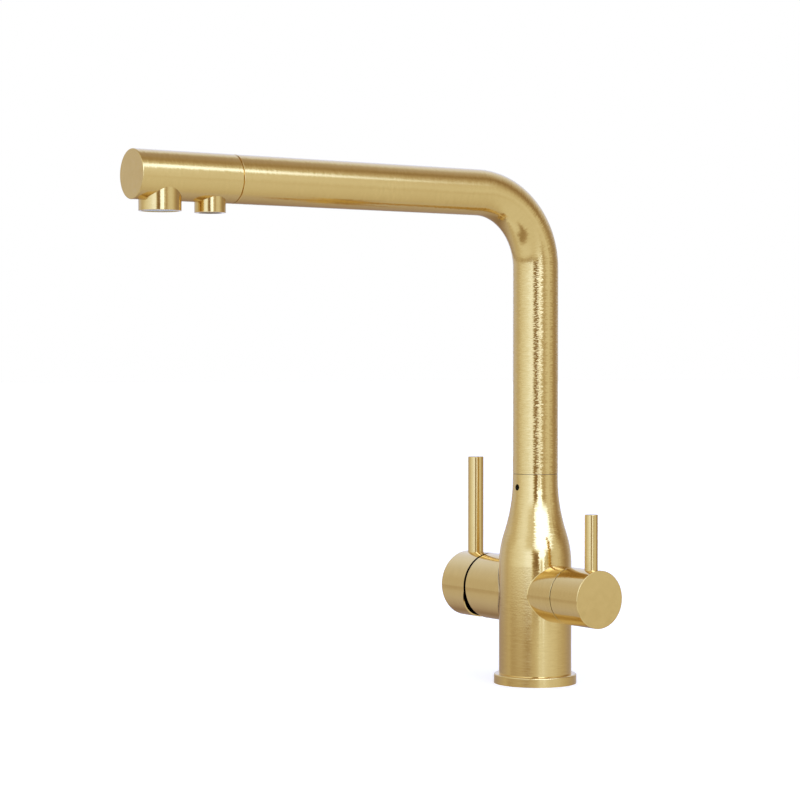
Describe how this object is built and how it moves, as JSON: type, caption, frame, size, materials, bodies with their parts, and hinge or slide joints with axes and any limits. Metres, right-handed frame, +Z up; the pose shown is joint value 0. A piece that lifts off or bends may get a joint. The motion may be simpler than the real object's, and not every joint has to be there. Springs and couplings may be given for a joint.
{
  "type": "kitchen tap",
  "caption": "Swivel spout kitchen tap with a side mixer lever, a side lever for filtered water, and separate main and filtered water outlets under the spout's head.",
  "frame": {"origin": "centre of the fixing stud's hole at the base's underside, on the worktop", "axes": "+Z up along the swivel axis, -Y towards the spout's head and the user, +X towards the filtered water lever, -X towards the mixer lever"},
  "size_m": [0.1347, 0.3057, 0.3161],
  "materials": {
    "brushed_brass": "brushed all over, champagne gold tone",
    "raw_brass": "plain turned",
    "black_rubber": "moulded",
    "white_ceramic": "lapped and polished",
    "white_plastic": "moulded acetal",
    "grey_plastic": "moulded",
    "stainless_steel": "plain stainless steel",
    "clear_hose": "food grade hose",
    "aerator_plastic": "light grey",
    "blackened_steel": "black oxide on steel",
    "bearing_plastic": "bronze filled sliding plastic"
  },
  "bodies": {
    "tap_body": {"body_casting": "brushed_brass", "mixer_housing": "brushed_brass", "filter_boss": "brushed_brass", "base_flange": "brushed_brass", "base_gasket": "black_rubber", "base_seals": "black_rubber", "base_screws": "stainless_steel", "mixer_cartridge_base": "grey_plastic", "mixer_port_seals": "black_rubber", "mixer_fixed_disc": "white_ceramic", "mixer_cartridge_shell": "grey_plastic", "mixer_cartridge_nut": "blackened_steel", "filter_seat_seal": "black_rubber", "filter_fixed_disc": "white_ceramic", "filter_valve_body": "raw_brass", "filter_valve_seal": "black_rubber", "filter_nipple": "raw_brass", "filter_nipple_seal": "black_rubber", "spout_upper_bearing": "bearing_plastic", "spout_lower_bearing": "bearing_plastic", "spout_retaining_screw": "blackened_steel"},
    "mixer_rotor": {"mixer_turning_sleeve": "white_plastic", "mixer_pivot_pin": "stainless_steel"},
    "mixer_disc": {"mixer_disc_carrier": "white_plastic", "mixer_moving_disc": "white_ceramic"},
    "mixer_handle": {"mixer_stem": "raw_brass", "mixer_handle_cap": "brushed_brass", "mixer_lever": "brushed_brass", "mixer_handle_screw": "stainless_steel"},
    "filter_handle": {"filter_spindle": "raw_brass", "filter_moving_disc": "white_ceramic", "filter_spindle_clip": "stainless_steel", "filter_spindle_seals": "black_rubber", "filter_knob": "brushed_brass", "filter_lever": "brushed_brass", "filter_knob_screw": "stainless_steel"},
    "spout": {"spout_tube": "brushed_brass", "spout_spigot": "raw_brass", "spout_spigot_seals": "black_rubber", "spout_head": "brushed_brass", "spout_head_seal": "black_rubber", "main_outlet_collar": "brushed_brass", "aerator_housing": "aerator_plastic", "aerator_mesh": "aerator_plastic", "aerator_washer": "black_rubber", "filter_outlet_collar": "brushed_brass", "filter_flow_straightener": "grey_plastic", "filter_outlet_elbow": "raw_brass", "filter_inner_hose": "clear_hose", "filter_hose_ferrule": "raw_brass", "filter_hose_crimps": "stainless_steel", "filter_elbow_seal": "black_rubber"}
  },
  "joints": [
    {"name": "mixer_temperature", "type": "hinge", "parent": "tap_body", "child": "mixer_rotor", "pos_m": [-0.044, 0, 0.0566], "axis": [1, 0, 0], "range_deg": [-45, 45]},
    {"name": "mixer_flow", "type": "hinge", "parent": "mixer_rotor", "child": "mixer_handle", "pos_m": [-0.044, 0, 0.0566], "axis": [0, -1, 0], "range_deg": [0, 24]},
    {"name": "mixer_disc_slide", "type": "slide", "parent": "mixer_rotor", "child": "mixer_disc", "axis": [0, 0, 1], "range_m": [0, 0.0044]},
    {"name": "filter_flow", "type": "hinge", "parent": "tap_body", "child": "filter_handle", "pos_m": [0.0551, 0, 0.0566], "axis": [1, 0, 0], "range_deg": [0, 90]},
    {"name": "spout_swivel", "type": "hinge", "parent": "tap_body", "child": "spout", "pos_m": [0, 0, 0.13], "axis": [0, 0, 1], "continuous": true}
  ],
  "couplings": [
    {"joint": "mixer_disc_slide", "follows": "mixer_flow", "m_per_rad": 0.0105}
  ]
}
